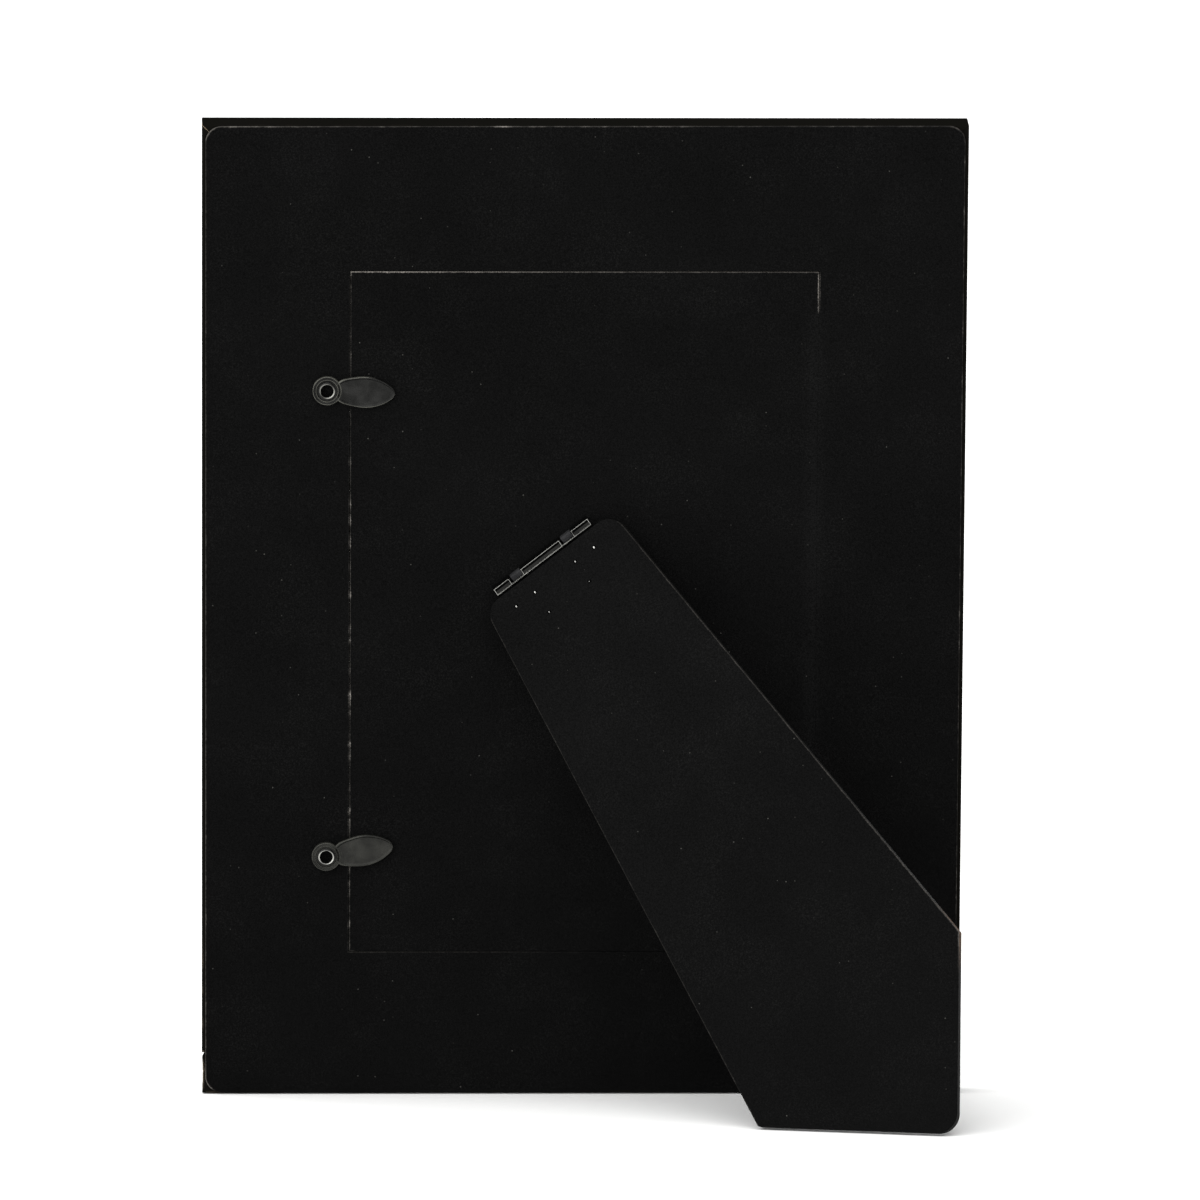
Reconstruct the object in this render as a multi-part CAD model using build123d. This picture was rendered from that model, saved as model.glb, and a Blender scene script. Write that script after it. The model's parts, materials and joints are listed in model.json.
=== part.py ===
from build123d import *
import os
from math import cos, radians, sin, tan

# An easel back photo frame, seen from behind. Lengths are in millimetres, angles in degrees.
# It is drawn flat first: x to the right, y up from the standing edge, z out of the back of the moulding.
# At the end every piece is leaned back and set down on the floor.

# Print, glass and card in the rebate
photo_width = 101.6
photo_height = 152.4
photo_thickness = 0.25
photo_side_play = 0.8      # left each side of the print
photo_end_play = 0.9       # and at each end
glass_clearance = 0.2
glass_thickness = 2.0
card_clearance = 0.4
card_thickness = 1.0
stack_play = 0.05          # between the card and the door

# Moulding
rail_width = 32.4          # outer edge to the wall of the rebate
sight_lip = 4.0            # lip that holds the glass
lip_thickness = 3.2
front_round = 1.2          # rounded outer edge on the picture side
sight_bevel_in = 2.6       # sloping inner edge on the picture side, across the rail
sight_bevel_deep = 1.6     # and through its depth
back_arris = 0.3           # softened outer edge on the back

# Steel V nails across the mitres
nail_leg = 4.6
nail_sheet = 0.4
nail_depth = 6.0
nail_place_shares = (0.30, 0.72)   # along the mitre, outer corner to rebate

# Door and the flocked paper that covers the back and carries the door
door_clearance = 0.3       # gap all round, and the width of the slit in the paper
door_thickness = 3.0
flock_thickness = 0.5
flock_side_margin = 0.8
flock_end_margin = 0.3
flock_corner = 3.5
hinge_side_slit = 9.0      # how far the slit runs down the side that stays joined

# Turn buttons and their eyelets
button_setback = 4.9       # side of the opening to the pivot
upper_button_drop = 26.8   # top of the opening to the pivot
lower_button_rise = 22.0   # bottom of the opening to the pivot
upper_button_angle = -2.2
lower_button_angle = 9.6
button_reach = 14.9        # pivot to tip
button_head = 6.4          # diameter
blade_width = 6.9
blade_tip = 1.3            # width of the blunt tip
blade_swell_share = 0.52   # of the reach, where the blade is widest
neck_width = 4.5
neck_fillet = 0.5
button_thickness = 1.0
button_arris = 0.2
button_rim = 0.55
button_dish = 0.3
button_seat = 5.2          # diameter of the sunk seat round the eyelet
seat_depth = 0.2
button_lift = 0.15         # play above the flock
eyelet_tube = 3.3          # outside diameter
eyelet_wall = 0.25
eyelet_flange = 4.0        # diameter
eyelet_flange_height = 0.5
eyelet_depth = 3.6         # into the rail
turning_clearance = 0.05   # running fits of the buttons and of the hinge

# Easel hinge: two bridges on the door's leaf hold the tongue of the leg's leaf
hinge_x = -9.2             # from the middle of the back
hinge_rise = 13.2          # above the middle of the back
hinge_angle = 38.1         # of the hinge line, up to the right
leaf_thickness = 0.6
pintle = 1.0               # diameter
tongue_length = 26.0
bridge_width = 2.8
bridge_place = 7.0         # each side of the middle
bridge_clearance = 0.35
slot_depth = 2.0
door_leaf_width = 24.0
door_leaf_head = 3.2
door_leaf_reach = 15.0
leg_leaf_shoulder = 9.0
leg_leaf_reach = 14.8
leg_leaf_tail = 16.5       # width of the lower part
leaf_corner = 1.5
prong_width = 0.9
prong_proud = 0.2          # pointed tip above the flock
prong_inset = 3.0          # from the sides and the far end of a leaf
prong_near = 5.0           # from the hinge line, on the door
shoulder_inset = 2.2       # from the ends of the tongue
shoulder_rise = 2.7        # from the shoulder's lower edge
tail_inset = 2.65          # from the sides of the lower part

# Easel leg and how the frame stands
lean = 7.0                 # of the back, upright picture
landscape_lean = 2.5       # of the back, picture on its side
leg_opening = 24.0
stop_play = 0.01           # left between the tongue's heel and the flock at the stop
leg_thickness = 2.4
lining_thickness = 0.2
lining_inset = 0.8
fold_clearance = 0.2       # between the lining and the flock, leg folded
leg_top = 2.4              # hinge line to the top edge of the leg
leg_top_left = 16.8        # middle of the hinge to the left top corner
leg_top_right = 18.5
left_taper = 7.7
right_taper = 3.8
leg_top_corner = 4.2
leg_foot_corner = 4.4
leg_inner_corner = 0.5
leg_side_corner = 0.6

overrun = 2.0              # how far every cutter runs past the faces it cuts

# Worked out from the sizes above
opening_width = photo_width + 2 * photo_side_play
opening_height = photo_height + 2 * photo_end_play
frame_width = opening_width + 2 * rail_width
frame_height = opening_height + 2 * rail_width
rail_full = rail_width + sight_lip
rebate_depth = glass_thickness + photo_thickness + card_thickness + stack_play + door_thickness
moulding_depth = rebate_depth + lip_thickness
glass_back = glass_thickness - rebate_depth
photo_back = glass_back + photo_thickness
eyelet_bore = eyelet_tube - 2 * eyelet_wall
button_base = flock_thickness + button_lift
button_top = button_base + button_thickness
bridge_inside = pintle / 2 + turning_clearance
bridge_outside = bridge_inside + leaf_thickness
leaf_half = leaf_thickness / 2
axis_height = flock_thickness + fold_clearance + lining_thickness + leaf_half
leg_outside = leg_thickness - leaf_half
opening_sine = sin(radians(leg_opening))
opening_cosine = cos(radians(leg_opening))
heel_room = axis_height - flock_thickness - stop_play
heel = (heel_room - leaf_half * opening_cosine) / opening_sine

# Where things sit on the back
middle = Pos(0, frame_height / 2, 0)
hinge_y = frame_height / 2 + hinge_rise
hinge_seat = Location((hinge_x, hinge_y, 0), (0, 0, hinge_angle))
button_pivot_x = -opening_width / 2 - button_setback
button_ys = {
    "upper": frame_height - rail_width - upper_button_drop,
    "lower": rail_width + lower_button_rise,
}
button_angles = {"upper": upper_button_angle, "lower": lower_button_angle}
door_prongs = [
    (side * (door_leaf_width / 2 - prong_inset), -down)
    for side in (1, -1)
    for down in (prong_near, door_leaf_reach - prong_inset)
]
leg_prongs = [
    (side * across, -down)
    for side in (1, -1)
    for across, down in (
        (tongue_length / 2 - shoulder_inset, leg_leaf_shoulder - shoulder_rise),
        (leg_leaf_tail / 2 - tail_inset, leg_leaf_shoulder - shoulder_rise),
        (leg_leaf_tail / 2 - tail_inset, leg_leaf_reach - prong_inset),
    )
]


def v_nails():
    """Two V shaped nails in each mitre, driven flush from the back."""
    stroke = nail_leg + nail_sheet / 2
    legs = Pos(nail_leg / 2, 0) * Rectangle(stroke, nail_sheet)
    legs += Pos(0, -nail_leg / 2) * Rectangle(nail_sheet, stroke)
    nail = extrude(legs, -nail_depth)
    side = frame_width / 2
    corners = ((side, 0), (side, frame_height), (-side, frame_height), (-side, 0))
    nails = []
    for turn, (x, y) in enumerate(corners):
        corner = Location((x, y, 0), (0, 0, 90 * turn))
        for share in nail_place_shares:
            along = share * rail_width
            nails.append(corner * Pos(-along, along, 0) * nail)
    return nails


def rail_bar(length):
    """One length of moulding with mitred ends, its outer edge on the x axis."""
    outline = Polygon(
        (0, 0),
        (rail_width, 0),
        (rail_width, -rebate_depth),
        (rail_full, -rebate_depth),
        (rail_full, sight_bevel_deep - moulding_depth),
        (rail_full - sight_bevel_in, -moulding_depth),
        (0, -moulding_depth),
        align=None,
    )
    outer = outline.vertices().group_by(Axis.X)[0].sort_by(Axis.Y)
    outline = fillet(outer[0], front_round)
    back = outline.vertices().sort_by_distance((0, 0, 0))[0]
    outline = chamfer(back, back_arris)
    bar = extrude(Plane.YZ * outline, length / 2, both=True)
    mitre = Polygon(
        (-length / 2, 0),
        (length / 2, 0),
        (length / 2 - rail_full, rail_full),
        (rail_full - length / 2, rail_full),
        align=None,
    )
    return bar & extrude(mitre, -moulding_depth)


def rails(nails):
    """The four rails around the opening, with the nails' and eyelets' holes."""
    side = frame_width / 2
    upright = rail_bar(frame_height)
    level = rail_bar(frame_width)
    bars = {
        "bottom_rail": level,
        "top_rail": Location((0, frame_height, 0), (0, 0, 180)) * level,
        "right_rail": Location((side, frame_height / 2, 0), (0, 0, 90)) * upright,
        "left_rail": Location((-side, frame_height / 2, 0), (0, 0, -90)) * upright,
    }
    for y in button_ys.values():
        bars["left_rail"] -= Pos(button_pivot_x, y, 0) * extrude(Circle(eyelet_tube / 2), -eyelet_depth)
    return {name: bar - nails for name, bar in bars.items()}


def flat_sheet(width, height, front, thickness):
    """A plain sheet in the rebate, from the depth front towards the back."""
    return middle * Pos(0, 0, front) * extrude(Rectangle(width, height), thickness)


def glass_pane():
    """The glass, resting on the lip."""
    width = opening_width - 2 * glass_clearance
    return flat_sheet(width, opening_height - 2 * glass_clearance, -rebate_depth, glass_thickness)


def photo_insert():
    """A bare sheet of photo paper of the standard size."""
    return flat_sheet(photo_width, photo_height, glass_back, photo_thickness)


def filler_card():
    """The card that presses the photograph to the glass."""
    width = opening_width - 2 * card_clearance
    return flat_sheet(width, opening_height - 2 * card_clearance, photo_back, card_thickness)


def prong_set(places, low, high):
    """Flat prongs, bent up from their leaf, standing from one height to another."""
    tab = extrude(Rectangle(prong_width, leaf_thickness), high - low)
    return [Pos(x, y, low) * tab for x, y in places]


def door_leaf_plate():
    """The flat of the door's hinge leaf, let into the board."""
    tall = door_leaf_head + door_leaf_reach
    flat = Pos(0, door_leaf_head - tall / 2) * RectangleRounded(door_leaf_width, tall, leaf_corner)
    return extrude(flat, -leaf_thickness)


def door_hinge_leaf():
    """The door's leaf: plate, two raised bridges over the tongue, and four prongs."""
    rise = axis_height + leaf_thickness
    arch = Pos(0, axis_height - rise / 2) * Rectangle(2 * bridge_outside, rise)
    arch += Pos(0, axis_height) * Circle(bridge_outside)
    tunnel = Pos(0, axis_height - rise / 2) * Rectangle(2 * bridge_inside, rise)
    tunnel += Pos(0, axis_height) * Circle(bridge_inside)
    bridge = extrude(Plane.YZ * (arch - tunnel), bridge_width / 2, both=True)
    under = extrude(Rectangle(bridge_width, 2 * bridge_inside), -leaf_thickness)
    leaf = door_leaf_plate()
    for side in (1, -1):
        place = Pos(side * bridge_place, 0, 0)
        leaf = leaf - place * under + place * bridge
    leaf += prong_set(door_prongs, -door_thickness, -leaf_thickness)
    return hinge_seat * leaf


def door_board():
    """The board that closes the back, with the leaf's recess and the prongs' holes."""
    width = opening_width - 2 * door_clearance
    height = opening_height - 2 * door_clearance
    board = middle * extrude(Rectangle(width, height), -door_thickness)
    board -= hinge_seat * door_leaf_plate()
    return board - [hinge_seat * hole for hole in prong_set(door_prongs, -door_thickness, 0)]


def back_flock():
    """One flocked sheet over moulding and door, slit round the door but for its right side."""
    width = frame_width - 2 * flock_side_margin
    height = frame_height - 2 * flock_end_margin
    sheet = middle * RectangleRounded(width, height, flock_corner)
    slit = Rectangle(opening_width, opening_height)
    slit -= Rectangle(opening_width - 2 * door_clearance, opening_height - 2 * door_clearance)
    joined = opening_height - door_clearance - hinge_side_slit
    slit -= Pos(opening_width / 2, (door_clearance - hinge_side_slit) / 2) * Rectangle(
        2 * door_clearance, joined
    )
    sheet -= middle * slit
    for y in button_ys.values():
        sheet -= Pos(button_pivot_x, y) * Circle(eyelet_tube / 2)
    window = Rectangle(
        bridge_width + 2 * turning_clearance, 2 * bridge_outside + 2 * turning_clearance
    )
    for side in (1, -1):
        sheet -= hinge_seat * Pos(side * bridge_place, 0) * window
    return extrude(sheet, flock_thickness)


def blade_outline():
    """The leaf shaped blade, from the neck on the head to its blunt tip, between two arcs."""
    neck = neck_width / 2
    root = (button_head**2 - neck_width**2) ** 0.5 / 2
    swell = blade_swell_share * button_reach
    edges = [
        ThreePointArc((root, side * neck), (swell, side * blade_width / 2), (button_reach, side * blade_tip / 2))
        for side in (1, -1)
    ]
    edges.append(Line((button_reach, blade_tip / 2), (button_reach, -blade_tip / 2)))
    edges.append(Line((root, neck), (root, -neck)))
    return make_face(edges), [(root, side * neck, 0) for side in (1, -1)]


def turn_button(which):
    """A turn button: round head with a sunk seat, neck, and a dished blade with a rim."""
    blade, roots = blade_outline()
    head = Circle(button_head / 2)
    outline = head + blade
    for root in roots:
        outline = fillet(outline.vertices().sort_by_distance(root)[0], neck_fillet)
    button = extrude(outline, button_thickness)
    button = chamfer(button.edges().group_by(Axis.Z)[-1], button_arris)
    top = Pos(0, 0, button_thickness)
    button -= top * extrude(offset(blade, -button_rim) - head, -button_dish)
    button -= top * extrude(Circle(button_seat / 2), -seat_depth)
    button -= extrude(Circle(eyelet_tube / 2 + turning_clearance), button_thickness)
    place = (button_pivot_x, button_ys[which], button_base)
    return Location(place, (0, 0, button_angles[which])) * button


def eyelet(which):
    """A hollow eyelet, its tube in the rail and its rolled flange over the button's seat."""
    base = button_top - seat_depth + turning_clearance
    tube = Pos(0, 0, -eyelet_depth) * extrude(Circle(eyelet_tube / 2), eyelet_depth + base)
    flange = Pos(0, 0, base) * extrude(Circle(eyelet_flange / 2), eyelet_flange_height)
    body = tube + flange
    body = fillet(body.edges().group_by(Axis.Z)[-1], eyelet_wall)
    bore = Pos(0, 0, -eyelet_depth) * extrude(Circle(eyelet_bore / 2), eyelet_depth + base + overrun)
    body -= bore
    return Pos(button_pivot_x, button_ys[which], 0) * body


def floor_line(reach, run, fall, angle):
    """Where the leg's inner face meets the floor, as (r at t = 0, slope) in the leg's own plane.

    reach is how far the floor's edge is from the hinge along the back, run and fall are the shares
    of that direction along the hinge line and down the leg, angle is the lean on that floor.
    """
    lean_sine = sin(radians(angle))
    lean_cosine = cos(radians(angle))
    per_r = fall * opening_cosine * lean_cosine + opening_sine * lean_sine
    edge = (reach - leaf_half * fall * opening_sine) * lean_cosine
    edge -= (axis_height - leaf_half * opening_cosine) * lean_sine
    return edge / per_r, run * lean_cosine / per_r


def meet(first, second):
    """The point (t, r) where two lines r = a + b t cross."""
    t = (second[0] - first[0]) / (first[1] - second[1])
    return t, first[0] + first[1] * t


def leg_outline():
    """The leg's five sided outline: x along the hinge line, y up the leg from the hinge line."""
    along_sine = sin(radians(hinge_angle))
    along_cosine = cos(radians(hinge_angle))
    foot = floor_line(hinge_y, along_sine, along_cosine, lean)
    side = floor_line(frame_width / 2 - hinge_x, -along_cosine, along_sine, landscape_lean)
    right_slope = 1 / tan(radians(right_taper))
    left_slope = -1 / tan(radians(left_taper))
    right = (leg_top - leg_top_right * right_slope, right_slope)
    left = (leg_top + leg_top_left * left_slope, left_slope)
    corners = (
        ((-leg_top_left, leg_top), leg_top_corner),
        (meet(foot, left), leg_inner_corner),
        (meet(side, foot), leg_foot_corner),
        (meet(right, side), leg_side_corner),
        ((leg_top_right, leg_top), leg_top_corner),
    )
    outline = Polygon(*[(t, -r) for (t, r), radius in corners], align=None)
    for (t, r), radius in corners:
        corner = outline.vertices().sort_by_distance((t, -r, 0))[0]
        outline = fillet(corner, radius)
    return outline


def leg_leaf_plate():
    """The flat of the leg's hinge leaf, with the slots that the bridges come through."""
    tall = heel + leg_leaf_shoulder
    tail = leg_leaf_reach - leg_leaf_shoulder
    upper = Pos(0, heel - tall / 2) * Rectangle(tongue_length, tall)
    lower = Pos(0, -leg_leaf_shoulder - tail / 2) * Rectangle(leg_leaf_tail, tail)
    flat = fillet(upper.vertices().group_by(Axis.Y)[0], leaf_corner)
    flat += fillet(lower.vertices().group_by(Axis.Y)[0], leaf_corner)
    slot = Rectangle(bridge_width + 2 * bridge_clearance, slot_depth + heel + overrun)
    for side in (1, -1):
        flat -= Pos(side * bridge_place, (heel + overrun - slot_depth) / 2) * slot
    return Pos(0, 0, -leaf_half) * extrude(flat, leaf_thickness)


def leg_hinge_leaf():
    """The leg's leaf: plate, round tongue through the bridges, and six prongs to the outside."""
    tongue = extrude(Plane.YZ * Circle(pintle / 2), tongue_length / 2, both=True)
    tips = prong_set(leg_prongs, leaf_half, leg_outside + flock_thickness + prong_proud)
    tips = [chamfer(tip.edges().group_by(Axis.Z)[-1], prong_proud) for tip in tips]
    return leg_leaf_plate() + tongue + tips


def leg_pieces():
    """The leg's board, outside flock, inside lining and hinge leaf, in the leg's own plane."""
    outline = leg_outline()
    holes = prong_set(leg_prongs, -leaf_half, leg_outside + flock_thickness)
    board = Pos(0, 0, -leaf_half) * extrude(outline, leg_thickness)
    flock = Pos(0, 0, leg_outside) * extrude(outline, flock_thickness)
    inside = offset(outline, -lining_inset)
    return {
        "leg_board": board - leg_leaf_plate() - holes,
        "leg_flock": flock - holes,
        "leg_lining": Pos(0, 0, -leaf_half) * extrude(inside, -lining_thickness),
        "leg_hinge_leaf": leg_hinge_leaf(),
    }


def flat_pieces():
    """Every piece in the flat drawing's axes, the leg already swung out to its stop."""
    nails = v_nails()
    pieces = rails(nails)
    pieces["corner_v_nails"] = Compound(children=nails)
    pieces["glass_pane"] = glass_pane()
    pieces["photo_insert"] = photo_insert()
    pieces["filler_card"] = filler_card()
    pieces["door_board"] = door_board()
    pieces["back_flock"] = back_flock()
    pieces["door_hinge_leaf"] = door_hinge_leaf()
    for which in button_ys:
        pieces[which + "_button"] = turn_button(which)
        pieces[which + "_eyelet"] = eyelet(which)
    swing = hinge_seat * Location((0, 0, axis_height), (-leg_opening, 0, 0))
    for name, piece in leg_pieces().items():
        pieces[name] = swing * piece
    return pieces


def standing(pieces):
    """Leans the frame back, picture towards -Y, and centres its box over the origin."""
    back = (0, cos(radians(lean)), -sin(radians(lean)))
    leaned = Plane(origin=(0, 0, 0), x_dir=(-1, 0, 0), z_dir=back).location
    placed = {name: leaned * piece for name, piece in pieces.items()}
    boxes = [piece.bounding_box() for piece in placed.values()]
    low = min(box.min.Y for box in boxes)
    high = max(box.max.Y for box in boxes)
    floor = min(box.min.Z for box in boxes)
    down = Pos(0, -(low + high) / 2, -floor)
    return {name: down * piece for name, piece in placed.items()}


def main():
    """Writes one file for each piece."""
    os.makedirs("parts", exist_ok=True)
    for name, piece in standing(flat_pieces()).items():
        export_step(piece, "parts/" + name + ".step")
        print(name, len(piece.solids()), "solid", round(piece.volume), "mm3")


main()
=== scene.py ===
# %% [markdown]
# # The back of an easel photo frame
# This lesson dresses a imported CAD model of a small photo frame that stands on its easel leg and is
# seen from behind. Nearly everything is black: flocked paper, wrapped fibreboard and blackened steel.
# So the picture lives on small things: the paper's pale cut edges, a crease, bare metal on worn
# corners. Each step says what the real piece is, how it could be made, and why it is made this way.

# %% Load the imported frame
import json
import math

import bmesh
import bpy
import numpy as np
from mathutils import Matrix, Vector


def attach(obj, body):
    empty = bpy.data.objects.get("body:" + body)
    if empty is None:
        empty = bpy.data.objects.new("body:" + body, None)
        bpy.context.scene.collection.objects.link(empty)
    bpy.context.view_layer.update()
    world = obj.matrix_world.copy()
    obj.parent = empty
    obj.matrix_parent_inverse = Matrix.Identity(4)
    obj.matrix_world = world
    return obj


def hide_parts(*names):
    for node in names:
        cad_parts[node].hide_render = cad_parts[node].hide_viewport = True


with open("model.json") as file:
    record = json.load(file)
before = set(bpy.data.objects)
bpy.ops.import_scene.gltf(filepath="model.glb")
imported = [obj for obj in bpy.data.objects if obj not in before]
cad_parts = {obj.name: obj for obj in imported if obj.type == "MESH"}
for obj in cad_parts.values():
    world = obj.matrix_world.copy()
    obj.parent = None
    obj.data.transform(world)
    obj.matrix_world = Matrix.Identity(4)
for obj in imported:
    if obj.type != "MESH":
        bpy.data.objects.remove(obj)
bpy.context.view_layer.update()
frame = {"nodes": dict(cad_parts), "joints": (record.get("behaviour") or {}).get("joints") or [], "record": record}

# %% [markdown]
# ## Axes on the back and on the leg
# The frame leans back and its leg stands out askew, so places are easier to give on the back itself:
# right, up and out, in millimetres, from the middle of the edge that it stands on. The buttons turn
# about the back's normal, and the leg's hinge tells how far the leg is open. Reading both from the
# joints keeps this scene true to the model if its lean changes.

# %% Read the axes from the joints
MM = 1000.0
joints = {joint["name"]: joint for joint in frame["joints"]}
mounts = {mount["name"]: mount for mount in frame["record"]["mounts"]}


def node_points(name):
    """The corners of a CAD node in metres, one row each."""
    mesh = frame["nodes"][name].data
    flat = np.empty(len(mesh.vertices) * 3, np.float32)
    mesh.vertices.foreach_get("co", flat)
    return flat.reshape(-1, 3).astype(float)


back_out = np.array(joints["upper_button_turn"]["axis"])
back_right = np.array((-1.0, 0.0, 0.0))
back_axes = np.array((back_right, np.cross(back_out, back_right), back_out))
rail_depths = node_points("right_rail") @ back_out
back_origin = np.array(mounts["bottom_face"]["pos_m"]) + back_out * np.ptp(rail_depths) / 2

leg_joint = joints["leg_fold"]
leg_swing = math.radians(leg_joint["range_deg"][1])
hinge_line = np.array(leg_joint["axis"])
leg_out = back_out * math.cos(leg_swing) - np.cross(hinge_line, back_out) * math.sin(leg_swing)
leg_axes = np.array((hinge_line, np.cross(leg_out, hinge_line), leg_out))
leg_origin = np.array(leg_joint["pos_m"])


def to_plane(points, origin, axes):
    """Metres in the model to millimetres along three axes."""
    return (points - origin) @ axes.T * MM


def from_plane(points, origin, axes):
    """Millimetres along three axes to metres in the model."""
    return origin + points / MM @ axes


def on_back(points):
    """Millimetres right, up and out on the back to metres in the model."""
    return from_plane(points, back_origin, back_axes)


def on_leg(points):
    """Millimetres along the hinge, up the leg and out of it to metres in the model."""
    return from_plane(points, leg_origin, leg_axes)


def back_box(name):
    """Lowest and highest place of a CAD node on the back, in millimetres."""
    points = to_plane(node_points(name), back_origin, back_axes)
    return points.min(0), points.max(0)


lean = math.degrees(math.asin(-back_out[2]))
print("lean", round(lean, 2), "degrees, leg open", round(math.degrees(leg_swing), 2), "degrees")

# %% [markdown]
# ## One way to make every mesh
# All new pieces are loops carried along a profile: a sheet is its outline carried inwards, a rail is
# its section carried from mitre to mitre, an eyelet is a circle carried along its profile. So one
# function takes rings of points and closes them. Numbers that a material needs, such as how far a
# point is from a cut edge, go along as attributes of the points.

# %% Put rings of points into a mesh
def ring_faces(rows, columns, join_rows):
    """Corner numbers of the quads between neighbouring rings, each ring closed on itself."""
    row = np.arange(rows if join_rows else rows - 1)[:, None]
    column = np.arange(columns)[None, :]
    after = (column + 1) % columns
    here, below = row * columns, (row + 1) % rows * columns
    corners = (here + column, here + after, below + after, below + column)
    return np.stack(np.broadcast_arrays(*corners), -1).reshape(-1, 4)


def make_piece(name, shells, body, replaces=(), sharp_angle=35.0):
    """Makes one mesh object of closed shells and lets it ride on a body.

    A shell is (rings, ends, marks): rings of points, rows x columns x 3, in metres; ends is "lids"
    for a flat lid on the first and last ring or "join" where the last ring meets the first; marks
    are named numbers for each point, rows x columns.
    """
    corners, faces, marks, start = [], [], {}, 0
    for rings, ends, shell_marks in shells:
        rows, columns = rings.shape[:2]
        corners.append(rings.reshape(-1, 3))
        faces += (ring_faces(rows, columns, ends == "join") + start).tolist()
        if ends == "lids":
            first = np.arange(columns) + start
            faces += [first[::-1].tolist(), (first + (rows - 1) * columns).tolist()]
        for key, values in shell_marks.items():
            marks.setdefault(key, []).append(np.broadcast_to(values, (rows, columns)).ravel())
        start += rows * columns
    mesh = bpy.data.meshes.new(name)
    mesh.from_pydata(np.concatenate(corners), [], faces)
    for key, values in marks.items():
        layer = mesh.attributes.new(key, "FLOAT", "POINT")
        layer.data.foreach_set("value", np.concatenate(values).astype(np.float32))
    made = bpy.data.objects.new(name, mesh)
    bpy.context.scene.collection.objects.link(made)
    turn_faces_out(mesh)
    mesh.polygons.foreach_set("use_smooth", np.ones(len(mesh.polygons), bool))
    mesh.set_sharp_from_angle(angle=math.radians(sharp_angle))
    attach(made, body)
    if replaces:
        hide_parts(*replaces)
    print(name, len(mesh.vertices), "points", len(mesh.polygons), "faces")
    return made


def turn_faces_out(mesh):
    """Turns the faces of a closed mesh to point outwards."""
    work = bmesh.new()
    work.from_mesh(mesh)
    bmesh.ops.recalc_face_normals(work, faces=work.faces)
    work.to_mesh(mesh)
    work.free()


# %% [markdown]
# ## One way to make every material
# A material is a few nodes that feed one Principled shader. A single function adds a node with its
# settings and its links and gives back its output, so that nodes read like sums. Inputs may be listed
# in the order that the node shows them: a Map Range takes its value, the range that comes in and the
# range that goes out. Another function turns the hex colours that one reads off a screen into the
# linear numbers that the renderer works with. Patterns read Object coordinates, which are metres in
# this model, so a pattern's scale is one over its size in metres. Every material ends alike: coats of
# colour are laid over a base, each by its share.

# %% Helpers for materials
def linear(hex_code):
    """An sRGB hex colour as linear red, green, blue and alpha."""
    srgb = np.array([int(hex_code[i:i + 2], 16) for i in (1, 3, 5)]) / 255
    low, high = srgb / 12.92, ((srgb + 0.055) / 1.055) ** 2.4
    return (*np.where(srgb <= 0.04045, low, high), 1.0)


def add(tree, kind, inputs=(), out=0, **settings):
    """Adds a shader node and gives back one of its outputs, by number or name.

    Inputs are listed in the node's own order or given by name. Each is a value or another output.
    """
    made = tree.nodes.new("ShaderNode" + kind)
    for key, value in settings.items():
        setattr(made, key, value)
    for key, value in inputs.items() if isinstance(inputs, dict) else enumerate(inputs):
        if isinstance(value, bpy.types.NodeSocket):
            tree.links.new(value, made.inputs[key])
        else:
            made.inputs[key].default_value = value
    return made.outputs[out]


def new_material(name, noises, **shader_values):
    """A material whose constant values are set on its Principled shader's sockets.

    Each noise is (size in millimetres, detail). Gives the material, its nodes, its shader, the place
    on the object, and the noises.
    """
    material = bpy.data.materials.new(name)
    material.use_nodes = True
    tree = material.node_tree
    shader = tree.nodes["Principled BSDF"]
    for key, value in shader_values.items():
        shader.inputs[key.replace("_", " ")].default_value = value
    place = add(tree, "TexCoord", out="Object")
    made = [add(tree, "TexNoise", {"Vector": place, "Scale": MM / size, "Detail": detail})
            for size, detail in noises]
    return material, tree, shader, place, made


def paint(shader, base, coats, **outputs):
    """Lays coats of colour over a base and links that, and other outputs, to the shader."""
    tree, tone = shader.id_data, linear(base)
    for share, colour in coats:
        tone = add(tree, "Mix", {"Factor": share, "A": tone, "B": linear(colour)}, "Result", data_type="RGBA")
    for key, output in {"Base_Color": tone, **outputs}.items():
        tree.links.new(output, shader.inputs[key.replace("_", " ")])


def dress(material, *names):
    """Gives CAD nodes that stay a material."""
    for name in names:
        for slot in frame["nodes"][name].material_slots:
            slot.material = material
    print(material.name, "on", ", ".join(names))

# %% [markdown]
# ## Black flocked paper
# Flock is short black rayon fibre shot into glue on paper. It swallows light: face on it is nearly
# pure black, at a glance along it the fibre ends show a thin sheen. Dust and lint stick to it as
# pale dots, and hands brush the pile into faint lighter patches. Where the sheet is cut, its pale
# paper core shows as a broken line. Fibres themselves are finer than a pixel, so the bump is drawn
# coarser than the real pile, just wide enough to grain the surface.

# %% Flocked paper with lint, brushed patches and a pale cut edge
# Sizes are millimetres.
FLOCK_GRAIN = 0.35        # about five times the real fibre spacing
TUFT_PATCH = 12.0         # across a patch where fibre ends stand up
LINT_SPACING = 1.9        # between dots of lint
BRUSHED_PATCH = 24.0      # across a patch of brushed pile
EDGE_BREAK = 2.4          # between breaks in the pale cut edge
EDGE_FRAY = 0.4           # grain of the frayed paper
EDGE_REACH = 0.22         # that even the faintest edge reaches in
EDGE_SPREAD = 0.12        # more, where the core shows most
FIBRE_END, LINT, PAPER_CORE = "#2b2b2a", "#7a7974", "#bab4ac"


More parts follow.
